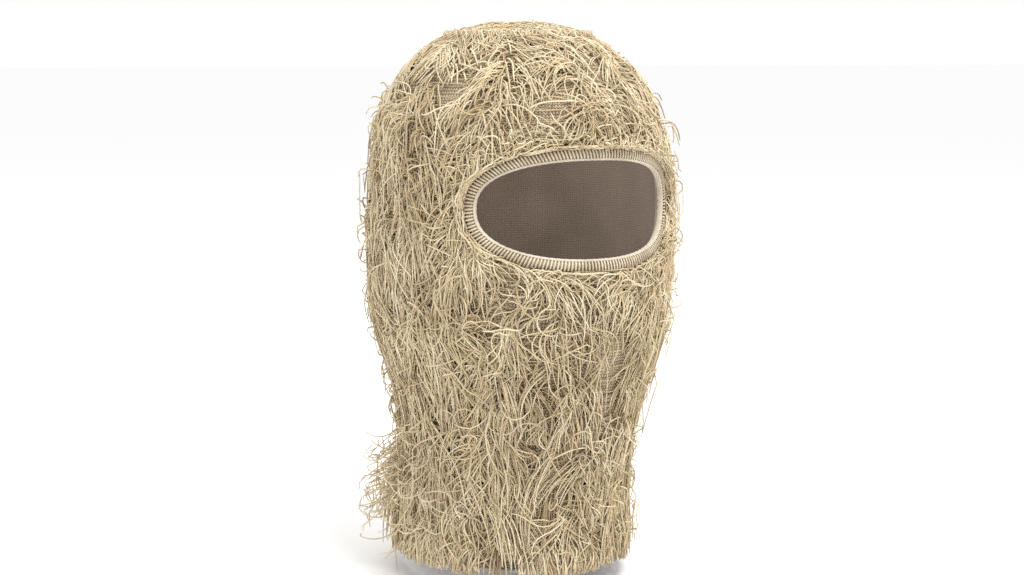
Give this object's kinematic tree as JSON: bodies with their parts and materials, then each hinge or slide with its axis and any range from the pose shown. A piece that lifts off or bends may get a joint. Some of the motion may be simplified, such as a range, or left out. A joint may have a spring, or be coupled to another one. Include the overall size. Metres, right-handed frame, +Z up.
{
  "type": "balaclava",
  "caption": "Full-face knitted head cover with a shaggy cut-yarn camouflage outside, a fine rib lining and one wide bound eye opening.",
  "frame": {"origin": "the top of the inside, where the crown of the head touches the lining", "axes": "+Z up out of the crown, face and eye opening towards -Y, +X to the right as seen from in front (the wearer's left)"},
  "size_m": [0.186, 0.2177, 0.3328],
  "materials": {
    "ground_knit": "open knit in cream yarn, matte",
    "seam_knit": "folded knit edge, matte",
    "lining_knit": "fine taupe rib, matte",
    "binding_rib": "cream rib binding, matte",
    "overlock_thread": "cream sewing thread, matte",
    "elastic": "covered elastic, matte",
    "fringe_yarn": "cut cream yarn, soft and matte"
  },
  "bodies": {
    "root": {"crown_back_seam": "seam_knit", "crown_tuft": "fringe_yarn", "eye_binding": "binding_rib", "eye_elastic": "elastic", "eye_overlock_stitches": "overlock_thread", "fringe_row_01": "fringe_yarn", "fringe_row_02": "fringe_yarn", "fringe_row_03": "fringe_yarn", "fringe_row_04": "fringe_yarn", "fringe_row_05": "fringe_yarn", "fringe_row_06": "fringe_yarn", "fringe_row_07": "fringe_yarn", "fringe_row_08": "fringe_yarn", "fringe_row_09": "fringe_yarn", "fringe_row_10": "fringe_yarn", "fringe_row_11": "fringe_yarn", "fringe_row_12": "fringe_yarn", "fringe_row_13": "fringe_yarn", "fringe_row_14": "fringe_yarn", "fringe_row_15": "fringe_yarn", "front_seam": "seam_knit", "hem_stitches": "overlock_thread", "lining_hem": "lining_knit", "lining_left": "lining_knit", "lining_right": "lining_knit", "seam_tail": "ground_knit", "shell_hem": "ground_knit", "shell_left": "ground_knit", "shell_right": "ground_knit"}
  },
  "joints": []
}
